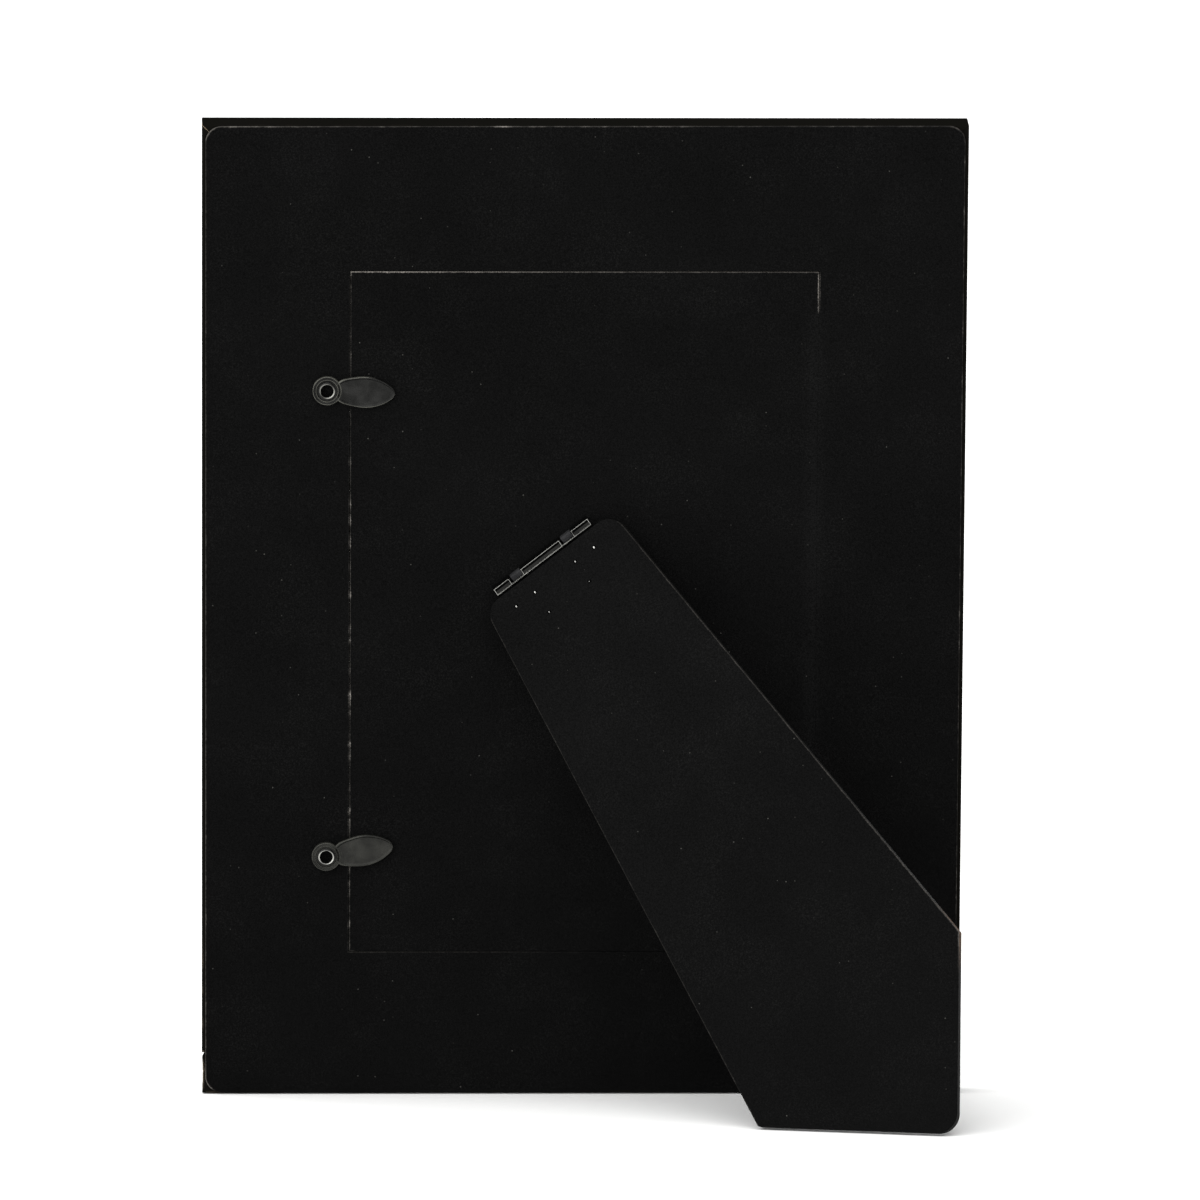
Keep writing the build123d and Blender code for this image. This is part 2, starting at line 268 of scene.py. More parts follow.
def flocked_paper(name, dark, light):
    """Black flock: brushed patches, standing fibre ends, lint dots, and the paper's core at cut edges.

    The mark "pile" is how much of the lighter tone shows; it also carries painted shade, darker towards
    the bottom, and a painted highlight along the paper hinge's crease. The mark "core" is how strongly the
    paper shows at a cut; broken up by noise, it fades with the distance "edge" from the cut, in millimetres.
    """
    noises = ((BRUSHED_PATCH, 4.0), (FLOCK_GRAIN, 2.0), (TUFT_PATCH, 3.0), (EDGE_BREAK, 3.0),
              (EDGE_FRAY, 2.0))
    material, tree, shader, place, (patch, grain, tuft, breaks, fray) = new_material(
        name, noises, Roughness=0.95, Sheen_Weight=0.012, Sheen_Roughness=0.5, Specular_IOR_Level=0.03,
        IOR=1.47)
    pile_and_painted_light, edge, core = (
        add(tree, "Attribute", out="Fac", attribute_name=mark) for mark in ("pile_and_painted_light", "edge", "core"))

    brushed = add(tree, "MapRange", (patch, 0.35, 0.7, 0.0, 0.18))
    grained = add(tree, "MapRange", (grain, 0.3, 0.75, 0.0, 0.7))
    shade = add(tree, "Math", (brushed, grained), operation="ADD", use_clamp=True)
    # Painted light enters here: the mark brings painted shade low down and a painted highlight along the crease.
    lit = add(tree, "Math", (shade, pile_and_painted_light), operation="MULTIPLY")

    ends = add(tree, "MapRange", (grain, 0.52, 0.72))
    ruffled = add(tree, "MapRange", (tuft, 0.45, 0.7, 0.0, 0.14))
    fuzz = add(tree, "Math", (ends, ruffled), operation="MULTIPLY")

    apart = add(tree, "TexVoronoi", {"Vector": place, "Scale": MM / LINT_SPACING}, "Distance")
    dot = add(tree, "MapRange", (apart, 0.045, 0.09, 1.0, 0.0))
    chance = add(tree, "SeparateColor", (apart.node.outputs["Color"],), "Red")
    some = add(tree, "MapRange", (chance, 0.8, 1.0, 0.0, 0.34))
    lint = add(tree, "Math", (dot, some), operation="MULTIPLY")

    broken = add(tree, "MapRange", (breaks, 0.36, 0.74, 0.8, 1.4))
    frayed = add(tree, "MapRange", (fray, 0.32, 0.68, 0.6, 1.2))
    ragged = add(tree, "Math", (broken, frayed), operation="MULTIPLY")
    deep = add(tree, "Math", (core, EDGE_SPREAD, EDGE_REACH), operation="MULTIPLY_ADD")
    reach = add(tree, "Math", (deep, ragged), operation="MULTIPLY")
    near = add(tree, "MapRange", (edge, reach, 0.0))
    strong = add(tree, "Math", (core, ragged), operation="MULTIPLY")
    shown = add(tree, "Math", (near, strong), operation="MULTIPLY", use_clamp=True)

    bump = add(tree, "Bump", {"Height": grain, "Strength": 0.5, "Distance": FLOCK_GRAIN / MM / 3})
    coats = ((lit, light), (fuzz, FIBRE_END), (lint, LINT), (shown, PAPER_CORE))
    paint(shader, dark, coats, Normal=bump)
    return material


# The leg's copy is a touch lighter than the back's; part of that is painted light, added to the brighter light
# that the leg's slope catches.
back_flock = flocked_paper("black_flocked_paper_back", "#050505", "#111111")
leg_flock = flocked_paper("black_flocked_paper_leg", "#060606", "#131313")
print("made", back_flock.name, leg_flock.name)

# %% [markdown]
# ## The back sheet
# One sheet of flocked paper covers the whole back. A knife cut frees the door on three sides and
# runs a little way down the fourth, where the paper itself is the hinge. A flat CAD sheet shows none
# of that, so the sheet is worked out again: the outer outline is carried inwards to the cut, and the
# door's outline inwards to its middle. Beside the cut the paper curls up by a hair, and along the
# paper hinge it sinks into a soft crease.

# %% Outlines of the sheet and of the cut
ARC_STEPS, SIDE_STEPS = 10, 150


def rounded_rectangle(width, height, radius):
    """Points of a rectangle with round corners about zero, counter-clockwise from lower right.

    Each corner is a quarter circle, and the runs between corners are divided evenly, so that two
    such outlines match point for point.
    """
    turn = np.linspace(-np.pi / 2, 0, ARC_STEPS)
    arcs, loop = [], []
    for quarter, side in enumerate(((1, -1), (1, 1), (-1, 1), (-1, -1))):
        angle = turn + quarter * np.pi / 2
        centre = np.array(side) * (width / 2 - radius, height / 2 - radius)
        arcs.append(centre + radius * np.stack((np.cos(angle), np.sin(angle)), -1))
    for arc, after in zip(arcs, arcs[1:] + arcs[:1]):
        loop += [arc, np.linspace(arc[-1], after[0], SIDE_STEPS + 1)[1:-1]]
    return np.concatenate(loop)


flock_low, flock_high = back_box("back_flock")
door_low, door_high = back_box("door_board")
sheet_centre = (flock_low + flock_high)[:2] / 2
sheet_top = flock_high[2]
sheet_size = (flock_high - flock_low)[:2]
door_size = (door_high - door_low)[:2]
# Sizes are millimetres.
door_gap = 0.3            # round the door board
knife_cut = 0.16          # between the cut edges of the paper, over the middle of that gap
paper_hinge_slit = 9.0    # that the cut runs down the hinge side
cut_corner = 0.12         # radius of the cut's corners
sheet_corner = 3.5        # radius of the sheet's corners
hinge_band = 0.05         # what lies this near the cut's right side belongs to it
hinge_end = 1.0           # over the cut's lower corner, where the paper hinge ends
askew = 0.26              # that the sheet's top edge rises towards the right
opening_size = door_size + 2 * door_gap
cut_size = door_size + door_gap + knife_cut
outer_loop = rounded_rectangle(*sheet_size, sheet_corner)
outer_loop[:, 1] += askew * (outer_loop[:, 1] > 0) * (outer_loop[:, 0] / sheet_size[0] + 0.5)
cut_loop = rounded_rectangle(*cut_size, cut_corner)
door_loop = rounded_rectangle(*(door_size + door_gap - knife_cut), cut_corner)
cut_x, cut_y = cut_loop.T
on_hinge = (cut_x > cut_size[0] / 2 - hinge_band) & (cut_y < cut_size[1] / 2 - paper_hinge_slit)
on_hinge &= cut_y > hinge_end - cut_size[1] / 2
crease_x = (door_size[0] + door_gap) / 2
cut_loop[on_hinge, 0] = crease_x
door_loop[on_hinge, 0] = crease_x
print("sheet", sheet_size.round(2), "door", door_size.round(2), "crease at", round(crease_x, 2))

# %% Carry the outlines across the sheet
# Sizes are millimetres.
edge_round = 0.12
crease_depth, crease_width = 0.07, 1.3
lip_rise, lip_width = 0.07, 0.6


def edge_rows(radius):
    """Rounded top edge of a sheet: (inset, drop) for a quarter circle, lower end first."""
    angle = np.linspace(0, np.pi / 2, 5)
    return radius * (1 - np.cos(angle)), radius * (1 - np.sin(angle))


def beside_cut(distance):
    """Height over the flat sheet at a distance from the cut: a lip, or a crease on the hinge."""
    lip = lip_rise * np.exp(-distance / lip_width)
    crease = -crease_depth * np.exp(-(distance / crease_width) ** 2)
    return np.where(on_hinge[None, :], crease, lip)


def sheet_rings(start, end, insets, drops, cut_distance, span):
    """Rings between two outlines: each inset is a share of the way, drops are below the sheet's top."""
    share = (insets / span)[:, None, None]
    flat = start * (1 - share) + end * share + sheet_centre
    height = sheet_top - drops[:, None] + beside_cut(cut_distance[:, None])
    return np.dstack((flat, height))


def to_middle(ring, middle, shares):
    """A ring drawn towards a middle, one new ring for each share of the way."""
    share = np.array(shares)[:, None, None]
    return ring * (1 - share) + middle * share


inset, drop = edge_rows(edge_round)
across = np.array((0.25, 0.4, 0.7, 1.2, 2.2, 4.0, 8.0))   # from an edge, closest beside it
span = (sheet_size - cut_size).mean() / 2
ring_inset = np.r_[0.0, inset, across, span - across[::-1], span - inset[::-1], span]
ring_drop = np.r_[sheet_top, drop, 0 * across, 0 * across, drop[::-1], sheet_top]
surround = sheet_rings(outer_loop, cut_loop, ring_inset, ring_drop, span - ring_inset, span)
surround[[0, -1], :, 2] = 0.0

door_far = np.array((14.0, 30.0))   # from the cut; past these the rings run to the middle
door_span = door_far[-1]
door_inner = rounded_rectangle(*(door_size - 2 * door_span), cut_corner)
door_inset = np.r_[0.0, inset, across, door_far]
door_drop = np.r_[sheet_top, drop, 0 * across, 0 * door_far]
door_sheet = sheet_rings(door_loop, door_inner, door_inset, door_drop, door_inset, door_span)
door_sheet[0, :, 2] = 0.0
inner_rings = to_middle(door_sheet[-1], door_sheet[-1].mean(0), (0.5, 0.99))
door_sheet = np.concatenate((door_sheet, inner_rings))
door_inset = np.r_[door_inset, 40.0, 50.0]   # the inner rings lie about this far from the cut
print("surround", surround.shape, "door", door_sheet.shape)

# %% [markdown]
# How strongly the pale core shows differs from edge to edge. The knife left a wide pale line along
# the top of the door and down the short cut on its right, a patchy one on the left and almost none at
# the bottom. Around the outside the top edge is palest, and the lower left corner has been knocked.
# These strengths are the mark "core": 0 hides the paper and 1 shows it fully.

# %% Mark how far the paper core shows along each edge
def ramp(value, start, end):
    """Rises from 0 at start to 1 at end, straight between."""
    return np.clip((value - start) / (end - start), 0, 1)


def cut_core(loop, on_door):
    """Strength of the pale line along the door's cut, on the door's side or on the surround's.

    Seen from above, the top of the cut shows the door's edge and the bottom shows the surround's.
    Places x and y are shares of the way across and up; strengths run straight from place to place.
    """
    x, y = (loop / cut_size + 0.5).T
    on_top = y > 0.995
    top = on_top * np.interp(x, (0.02, 0.45, 0.9), (0.48, 0.19, 0.13)) * on_door
    right = (x > 0.99) * ~on_top * (y > 0.9) * (0.37 if on_door else 0.08)
    dots = np.random.default_rng(5).random(len(loop)) ** 4
    dotted = dots * np.interp(y, (0.1, 0.2, 0.6, 0.75), (0.373, 0.52, 0.52, 0.1))
    left = (x < 0.01) * ~on_top * (0.04 + dotted * ramp(y, 0.0, 0.03)) * (1.0 if on_door else 0.3)
    bottom = (y < 0.005) * np.interp(x, (0.2, 0.55), (0.03, 0.0)) * (not on_door)
    return np.where(on_hinge, 0, np.maximum.reduce((top, right, left, bottom)))


def outer_core(loop):
    """Strength of the pale line around the sheet's outside; it ends in the knocked lower left corner."""
    x, y = (loop / sheet_size + 0.5).T
    on_left = ramp(x, 0.012, 0.006)
    specks = np.random.default_rng(8).random(len(loop)) ** 3
    frayed = np.interp(x, (0.05, 0.16, 0.34, 0.4, 0.6, 0.7), (0.137, 0.027, 0.027, 0.037, 0.037, 0.0))
    nick = 0.25 * np.exp(-((x - 0.39) / 0.01) ** 2)
    top = (y > 0.985) * (0.012 + 0.06 * specks + frayed * (0.6 + specks) + nick)
    left = (0.05 + 0.07 * (1 - y)) * on_left
    knocked = 0.24 * ramp(y, 0.036, 0.016) * on_left
    right = (x > 0.98) * (0.03 + 0.12 * specks)
    return np.maximum.reduce((top, left, knocked, right))


highlight_width, highlight_shift = 1.9, 0.8   # millimetres, the painted highlight band lies on the door's side of the crease


def back_pile_and_painted_light(rings, from_highlight):
    """How much of the lighter tone shows: less low down, as painted shade darker towards the bottom, and more in a
    painted highlight beside the paper hinge's crease.
    """
    # Painted highlight: a lighter band on the door's side of the paper hinge's crease, standing in for the light
    # that the crease's slope catches.
    painted_crease_highlight = 0.8 * np.exp(-(from_highlight / highlight_width) ** 2) * on_hinge
    # Painted shade: the lighter tone shows less towards the bottom of the sheet.
    return 0.72 + 0.28 * ramp(rings[..., 1] / sheet_size[1], 0.05, 0.5) + painted_crease_highlight


from_outer, from_cut = ring_inset[:, None], (span - ring_inset)[:, None]
nearer_cut = from_cut < from_outer
surround_marks = {
    "edge": np.where(nearer_cut, from_cut, from_outer),
    "core": np.where(nearer_cut, cut_core(cut_loop, False), outer_core(outer_loop)),
    "pile_and_painted_light": back_pile_and_painted_light(surround, from_cut + highlight_shift),
}
from_slit = door_inset[:, None]
door_marks = {
    "edge": from_slit,
    "core": cut_core(door_loop, True),
    "pile_and_painted_light": back_pile_and_painted_light(door_sheet, from_slit - highlight_shift),
}
back_sheet = make_piece(
    "back_sheet",
    [(on_back(surround), "join", surround_marks), (on_back(door_sheet), "lids", door_marks)],
    "frame", ["back_flock"])
back_sheet.data.materials.append(back_flock)

# %% [markdown]
# ## The leg's sheet
# The leg is a thin board with the same flocked paper on its outside. Its outline is read from the CAD
# node: the farthest point in each direction in the leg's plane, which is enough because the outline is
# convex. It is then carried inwards to its middle, with a rounded, slightly worn edge.

# %% Outline of the leg, carried inwards
OUTLINE_DIRECTIONS = 4000
CLOSEST = 0.05            # millimetres, nearer neighbours in an outline are dropped
leg_spacing = 1.5         # millimetres between points along the leg's edge


def convex_outline(points, spacing):
    """The outline of flat points: the farthest point in each direction, with even points between."""
    angle = np.linspace(0, 2 * np.pi, OUTLINE_DIRECTIONS, endpoint=False)
    farthest = np.argmax(points @ np.stack((np.cos(angle), np.sin(angle))), axis=0)
    ring = points[farthest[np.flatnonzero(np.diff(farthest, prepend=farthest[-1]))]]
    closed = np.r_[ring, ring[:1]]
    length = np.r_[0, np.cumsum(np.linalg.norm(np.diff(closed, axis=0), axis=1))]
    along = np.union1d(length[:-1], np.arange(0, length[-1], spacing))
    along = along[np.diff(along, append=length[-1]) > CLOSEST]
    return np.stack([np.interp(along, length, closed[:, k]) for k in range(2)], -1)


def unit(vectors):
    """Vectors, one row each, brought to length one."""
    return vectors / np.linalg.norm(vectors, axis=1)[:, None]


def inward_normals(loop):
    """Unit normals to the left of a counter-clockwise loop, from each point's two neighbours."""
    ahead = unit(np.roll(loop, -1, axis=0) - np.roll(loop, 1, axis=0))
    return np.stack((-ahead[:, 1], ahead[:, 0]), -1)


def raised(loops, heights):
    """Flat loops, each with its own height as third coordinate."""
    return np.dstack((loops, np.broadcast_to(heights[:, None], loops.shape[:2])))


leg_corners = to_plane(node_points("leg_flock"), leg_origin, leg_axes)
leg_low, leg_high = leg_corners[:, 2].min(), leg_corners[:, 2].max()
leg_loop = convex_outline(leg_corners[:, :2], leg_spacing)
beside_edge = np.array((0.2, 0.35, 0.5))      # millimetres from the edge
leg_shares = (0.04, 0.12, 0.4, 0.75, 0.99)    # of the way from there to the middle
leg_inset = np.r_[0.0, inset, beside_edge]
leg_drop = np.r_[leg_high - leg_low, drop, 0 * beside_edge, np.zeros(len(leg_shares))]
near_edge = leg_loop + leg_inset[:, None, None] * inward_normals(leg_loop)
inside = to_middle(near_edge[-1], leg_loop.mean(0), leg_shares)
leg_rings = raised(np.r_[near_edge, inside], leg_high - leg_drop)
leg_edge = np.r_[leg_inset, 2.0, 5.0, 15.0, 20.0, 20.0]   # the inner rings lie about this far in
print("leg sheet", leg_rings.shape, "from", leg_low.round(3), "to", leg_high.round(3), "mm out")

# %% Mark the leg's worn edges
side_corner = leg_loop[np.argmax(leg_loop @ (1.0, -0.35))]   # farthest right and a little down
knock_reach = 5.0         # millimetres from that corner


def leg_core(loop):
    """Strength of the pale edge: none on the foot, thin on the left, wider down the long right edge."""
    facing = inward_normals(loop)[:, 0]
    down = ramp(-loop[:, 1], 0, 120)
    right = (facing < -0.9) * (0.045 + 0.06 * down) * (loop[:, 1] > side_corner[1])
    left = (facing > 0.9) * 0.035
    knock = 0.17 * np.exp(-(np.linalg.norm(loop - side_corner, axis=1) / knock_reach) ** 2)
    return np.maximum.reduce((right, left, knock))


# Painted shade: the leg's flock shows less of its lighter tone towards the foot.
leg_pile_and_painted_shade = 0.66 + 0.34 * ramp(leg_rings[..., 1], -125, -45)
leg_marks = {"edge": leg_edge[:, None], "core": leg_core(leg_loop), "pile_and_painted_light": leg_pile_and_painted_shade}
leg_shell = (on_leg(leg_rings), "lids", leg_marks)
leg_sheet = make_piece("leg_sheet", [leg_shell], "leg", ["leg_flock"])
leg_sheet.data.materials.append(leg_flock)

# %% [markdown]
# ## The moulding
# Four lengths of fibreboard moulding, wrapped in black and mitred at the corners. A rail is its
# section carried from one mitre to the other, so each ring of points is the section pushed along until
# it meets the mitre plane. The last ring at each end is drawn in by a hair, which leaves the fine
# groove that shows as a line on a real mitre.

# %% Section of the moulding
def soften(corners, radii, steps=6):
    """A closed outline with rounded corners: each corner is a parabola between its tangent points."""
    corners, radii = np.array(corners, float), np.array(radii)[:, None]
    before, after = (unit(np.roll(corners, way, axis=0) - corners) for way in (1, -1))
    half = np.arccos(np.clip((before * after).sum(1), -1, 1))[:, None] / 2
    run = radii / np.tan(half)
    start, end = corners + before * run, corners + after * run
    t = np.linspace(0, 1, steps)[None, :, None]
    curve = (1 - t) ** 2 * start[:, None] + 2 * t * (1 - t) * corners[:, None] + t ** 2 * end[:, None]
    return curve.reshape(-1, 2)


rail_low, rail_high = back_box("right_rail")
frame_size = np.array((2 * rail_high[0], rail_high[1]))
moulding_depth = -rail_low[2]
rail_full = rail_high[0] - rail_low[0]
rail_wall = (frame_size[0] - opening_size[0]) / 2
rebate = back_box("glass_pane")[0][2]
bevel_in, bevel_deep = 2.6, 1.6   # millimetres that the inner edge slopes across and down
front_edge = 0.3          # millimetres of the outer side that count as the picture side
outer_steps = 12          # a finer outer side, so that it can be chipped
section_corners = [
    (0, 0), (rail_wall, 0), (rail_wall, rebate), (rail_full, rebate),
    (rail_full, bevel_deep - moulding_depth), (rail_full - bevel_in, -moulding_depth), (0, -moulding_depth)]
section = soften(section_corners, radii=[0.3, 0.15, 0.05, 0.15, 0.3, 0.4, 1.2])
section_middle = section.mean(0)
outer_side = np.linspace(section[-1], section[0], outer_steps)[1:-1]
section = np.r_[section, outer_side]
across_edge, up_edge = (section + np.roll(section, -1, axis=0)).T / 2
on_picture_side = up_edge < np.where(across_edge > rail_full / 2, bevel_deep, front_edge) - moulding_depth
print("section of", len(section), "points,", rail_full.round(2), "by", moulding_depth.round(2), "mm")

# %% The four rails
mitre_groove = 0.1        # millimetres that the last ring is drawn in
mitre_band = 2.0          # millimetres from the mitre to the next ring
chip_wide = 1.5           # millimetres that a chip reaches across the back
chip_slant = 0.34         # a chip runs aslant through the depth, like the blow that made it
chip_run, chip_steps = 1.6, 40   # half widths on either side that a chip is drawn over, and its rings


def rail_rings(length, chips):
    """The section carried from mitre to mitre along x, its outer edge on y = 0 and its back on z = 0.

    A chip is (place, half width, depth): there the outer side is pushed in by a flat topped bell along
    the rail, which dies away across the back and the picture side.
    """
    near = np.array((0.0, mitre_groove, mitre_band))
    ends = np.r_[length / 2 - near, -length / 2 + near[::-1], -length / 4, length / 4]
    slip = chip_slant * moulding_depth
    hits = [np.linspace(place - chip_run * width, place + chip_run * width + slip, chip_steps)
            for place, width, depth in chips]
    reach = np.unique(np.clip(np.concatenate((ends, *hits)), -length / 2, length / 2))
    rings = np.stack([section] * len(reach))
    rings[[0, -1]] += mitre_groove * np.sign(section_middle - section)
    for place, width, depth in chips:
        off = reach[:, None] - place + chip_slant * rings[..., 1]
        rings[..., 0] += depth * np.exp(-(off / width) ** 4 - rings[..., 0] / chip_wide)
    along = reach[:, None] * (1 - 2 * rings[..., 0] / length)
    return np.dstack((along, rings)), length / 2 - np.abs(reach)


def turned(points, place, angle):
    """Points turned on the back by an angle about zero and then moved to a place."""
    c, s = math.cos(angle), math.sin(angle)
    return points @ np.array(((c, s, 0), (-s, c, 0), (0, 0, 1))) + place


def rail(name, length, middle, quarters, chips=()):
    """One rail: carried along x, turned on the back by quarter turns and moved to its side.

    Its faces on the picture side take the second material.
    """
    rings, from_mitre = rail_rings(length, chips)
    points = on_back(turned(rings, (*middle, 0), quarters * math.pi / 2))
    shell = (points, "lids", {"mitre": from_mitre[:, None]})
    cad_rail = name.removesuffix("_piece")
    made = make_piece(name, [shell], "frame", [cad_rail], sharp_angle=25.0)
    faces = np.r_[np.tile(on_picture_side, len(rings) - 1), False, False]
    made.data.polygons.foreach_set("material_index", faces.astype(np.int32))
    return made


frame_width, frame_height = frame_size
half_width, half_height = frame_size / 2
chips = [(half_height - 9.2, 0.55, 0.55), (half_height - 5.2, 0.4, 0.12), (half_height - 4.2, 4.4, 0.18)]
rails = [
    rail("bottom_rail_piece", frame_width, (0, 0), 0),
    rail("right_rail_piece", frame_height, (half_width, half_height), 1),
    rail("top_rail_piece", frame_width, (0, frame_height), 2),
    rail("left_rail_piece", frame_height, (-half_width, half_height), -1, chips),
]

# %% [markdown]
# Black wrapped moulding has a paper skin over fibreboard. Its back and sides are matt, as the dull top
# face shows; the picture side is lacquered to a satin, with a faint grain pressed into it. On
# corners the skin is rubbed through to a pale ground coat. The Bevel node finds the edges: it rounds
# the normal near them, and where the rounded normal leaves the true one there is an edge.

# %% Matt and satin black moulding
# Sizes are millimetres.
SKIN_GRAIN = 0.9          # across a line of the pressed grain
SKIN_CLOUD = 18.0         # across a cloud in the tone
RUB_BREAK = 7.0           # between rubbed places on an edge
EDGE_FINDER = 0.5         # radius of the rounding that finds the edges
KNOCK_UP = 14.0           # from the lower left corner up to the knocked place
GROUND_COAT = "#b5a48e"
knocked_place = on_back(np.array((-half_width, KNOCK_UP, 0.0)))
open_corner = on_back(np.array((-half_width, frame_height, 0.0)))


def moulding_skin(name, dark, light, rough, shine):
    """Black skin: fine grain in the bump, rubbed pale on edges near the knocked lower left corner.

    At the top left corner the mitre stands open by a hair and its pale core shows. The mark "mitre" is
    the distance along the rail from its mitre, in millimetres.
    """
    noises = ((SKIN_GRAIN, 3.0), (SKIN_CLOUD, 3.0), (RUB_BREAK, 5.0))
    material, tree, shader, place, (grain, cloud, patches) = new_material(
        name, noises, IOR=1.5, Specular_IOR_Level=shine)
    rounded = add(tree, "Bevel", {"Radius": EDGE_FINDER / MM}, samples=6)
    flat = add(tree, "NewGeometry", out="Normal")
    same = add(tree, "VectorMath", (rounded, flat), "Value", operation="DOT_PRODUCT")
    edge = add(tree, "MapRange", (same, 0.995, 0.9))
    broken = add(tree, "MapRange", (patches, 0.5, 0.66))
    rub = add(tree, "Math", (edge, broken), operation="MULTIPLY")
    far = add(tree, "VectorMath", (place, knocked_place), "Value", operation="DISTANCE")
    close = add(tree, "MapRange", (far, 30 / MM, 8 / MM, 0.03, 0.6))
    mitre = add(tree, "Attribute", out="Fac", attribute_name="mitre")
    off_mitre = add(tree, "MapRange", (mitre, 0.4, 0.9))
    local = add(tree, "Math", (close, off_mitre), operation="MULTIPLY")
    worn = add(tree, "Math", (rub, local), operation="MULTIPLY")
    seam = add(tree, "MapRange", (mitre, 0.1, 0.03))
    away = add(tree, "VectorMath", (place, open_corner), "Value", operation="DISTANCE")
    opened = add(tree, "MapRange", (away, 4 / MM, 1.5 / MM, 0.01, 0.8))
    pale = add(tree, "Math", (seam, opened, worn), operation="MULTIPLY_ADD", use_clamp=True)
    roughness = add(tree, "MapRange", (cloud, 0.0, 1.0, rough - 0.08, rough + 0.08))
    bump = add(tree, "Bump", {"Height": grain, "Normal": rounded, "Strength": 0.25, "Distance": 0.05 / MM})
    paint(shader, dark, ((cloud, light), (pale, GROUND_COAT)), Roughness=roughness, Normal=bump)
    return material


matt_skin = moulding_skin("matt_black_wrapped_fibreboard", "#0c0c0a", "#100f0d", 0.8, 0.0)
satin_skin = moulding_skin("satin_black_lacquered_wrap", "#0a0a0a", "#101010", 0.42, 0.35)
for made in rails:
    made.data.materials.append(matt_skin)
    made.data.materials.append(satin_skin)
print(matt_skin.name, "and", satin_skin.name, "on", len(rails), "rails")

# %% [markdown]
# ## Turn buttons
# Each button is stamped from thin steel: a round head and a leaf shaped blade with a raised rim. The
# blade is a grid, along its length and around its section; the head is a circle carried along a
# profile. The head sits over the root of the blade, as the ring on the real one shows.

# %% Blade of a turn button
# Sizes are millimetres.
head_radius, neck_width, tip_half, tip_round = 3.2, 4.1, 0.72, 0.6
button_rim, rim_slope, button_dish, button_round = 0.3, 0.28, 0.28, 0.16
widest_share = 0.545      # of the blade's reach, where it is widest
root_lap = 0.25           # that the blade's root lies under the head
blade_steps, point_steps = 60, 10
dish_width = 2.0          # half width at which the dish has its full depth
dish_start = 0.9          # from the head to where the dish has its full depth


def circle_through(a, b, c):
    """Centre and radius of the circle through three points, from the two bisectors."""
    a, b, c = (np.array(p, float) for p in (a, b, c))
    rows = 2 * np.stack((b - a, c - a))
    centre = np.linalg.solve(rows, np.array((b @ b - a @ a, c @ c - a @ a)))
    return centre, np.linalg.norm(a - centre)


def blade_rings(reach, width, low, high):
    """Sections of the blade from under the head's rim to the tip.

    The half width is an arc through neck, widest place and tip, rounded off at the very tip. Around
    each section: flat underside, rounded sides, rim, and a shallow dish that fades where it is narrow.
    The first sections are bent round the head, so that the root ends under the head's rim.
    """
    neck, widest = (head_radius, neck_width / 2), (widest_share * reach, width / 2)
    centre, radius = circle_through(neck, widest, (reach, tip_half))
    root = head_radius - root_lap
    tip_turn = np.linspace(0.1, np.pi / 2 - 0.02, point_steps)
    x = np.r_[np.linspace(root, reach - tip_round, blade_steps), reach - tip_round * (1 - np.sin(tip_turn))]
    half = centre[1] + np.sqrt(radius ** 2 - (x - centre[0]) ** 2)
    half *= np.sqrt(1 - np.clip((x - reach + tip_round) / tip_round, 0, 1) ** 2)
    turn, fall = edge_rows(button_round)
    fade = np.minimum(ramp(half, button_rim, dish_width), ramp(x, root, head_radius + dish_start))
    hollow = button_dish * fade
    steps = np.array((0.35, 0.7, 1.0))   # shares of the slope from the rim into the dish
    inset_in = np.r_[0.0, turn, button_rim, button_rim + rim_slope * steps]
    sink = np.r_[0 * turn, 0.0, 0.0, steps ** 2 * (3 - 2 * steps)]
    y = np.maximum(half[:, None] - np.minimum(inset_in, 0.97 * half[:, None]), 0)
    z = high - np.r_[high - low, fall, np.zeros(4)] - hollow[:, None] * sink
    middle = np.stack((0 * x, high - hollow * 0.85), -1)[:, None, :]
    one = np.dstack((y, z))
    section = np.concatenate((one, middle, one[:, ::-1] * (-1, 1)), 1)
    bent = np.sqrt(root ** 2 - np.minimum(np.abs(section[..., 0]), 0.9 * root) ** 2) - root
    along = x[:, None] + bent * ramp(x, 2 * head_radius, root)[:, None]
    # Painted shade: the slope from the upper rim into the dish is darkened as if in the rim's shadow; the lower
    # side stays clean.
    soot_and_painted_shade = np.where((inset_in > button_rim) & (inset_in < button_rim + rim_slope), 1.0, 0.0)
    dull = 0.3 * ramp(x, 0.55 * reach, 0.75 * reach)[:, None]
    edge = np.broadcast_to(inset_in, y.shape)
    marks = {"edge": np.concatenate((edge + dull, 2.0 + 0 * y[:, :1], edge[:, ::-1]), 1),
             "soot_and_painted_shade": np.r_[soot_and_painted_shade, 0.0, 0 * soot_and_painted_shade]}
    return np.dstack((along, section)), marks


# %% Head of a turn button, and both buttons
bore_radius, seat_depth = 1.72, 0.2
under_lap, over_lap = 0.05, 0.06   # that the blade stays inside the head's underside and top
head_rings = (            # radius, drop and edge mark
    (3.0, 0.0, 0.15), (2.9, 0.13, 0.8), (2.62, 0.15, 0.8), (2.5, 0.02, 0.12), (2.38, 0.02, 0.12),
    (2.26, seat_depth, 0.9), (bore_radius, seat_depth, 2.0))
LATHE_STEPS = 72


def lathe(profile, steps=LATHE_STEPS):
    """A profile of (radius, height) carried round the z axis."""
    angle = np.linspace(0, 2 * np.pi, steps, endpoint=False)
    radius, height = np.array(profile, float).T[..., None]
    return np.stack(np.broadcast_arrays(radius * np.cos(angle), radius * np.sin(angle), height), -1)


def head_profile(low, high):
    """Half section of the head and its edge marks: bore, underside, rim, groove, bead and sunk seat."""
    turn, fall = edge_rows(button_round)
    radius, down, edge = np.array(head_rings).T
    profile = np.c_[np.r_[bore_radius, head_radius, head_radius - turn, radius],
                    np.r_[low, low, high - fall, high - down]]
    return profile, np.r_[2.0, 0.0, turn, edge]


